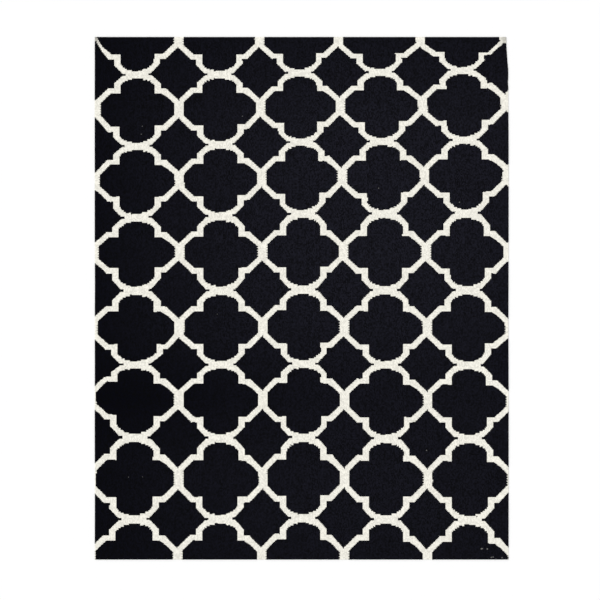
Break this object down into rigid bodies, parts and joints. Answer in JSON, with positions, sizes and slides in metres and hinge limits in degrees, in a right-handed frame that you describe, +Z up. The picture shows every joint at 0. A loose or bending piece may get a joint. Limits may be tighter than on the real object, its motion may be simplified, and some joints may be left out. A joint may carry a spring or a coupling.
{
  "type": "kilim rug",
  "caption": "Flat-woven wool rug, rectangular, black with a cream quatrefoil trellis running off every edge, reversible and without fringe.",
  "frame": {"origin": "middle of the underside, on the floor", "axes": "+Z up out of the floor, +Y along the warps to the end at the top of the picture, +X along the wefts to the right"},
  "size_m": [2.44, 3.08, 0.005],
  "materials": {
    "wool": "matt, slightly hairy flat-woven wool, black with cream lines"
  },
  "bodies": {
    "root": {"rug": "wool"}
  },
  "joints": []
}
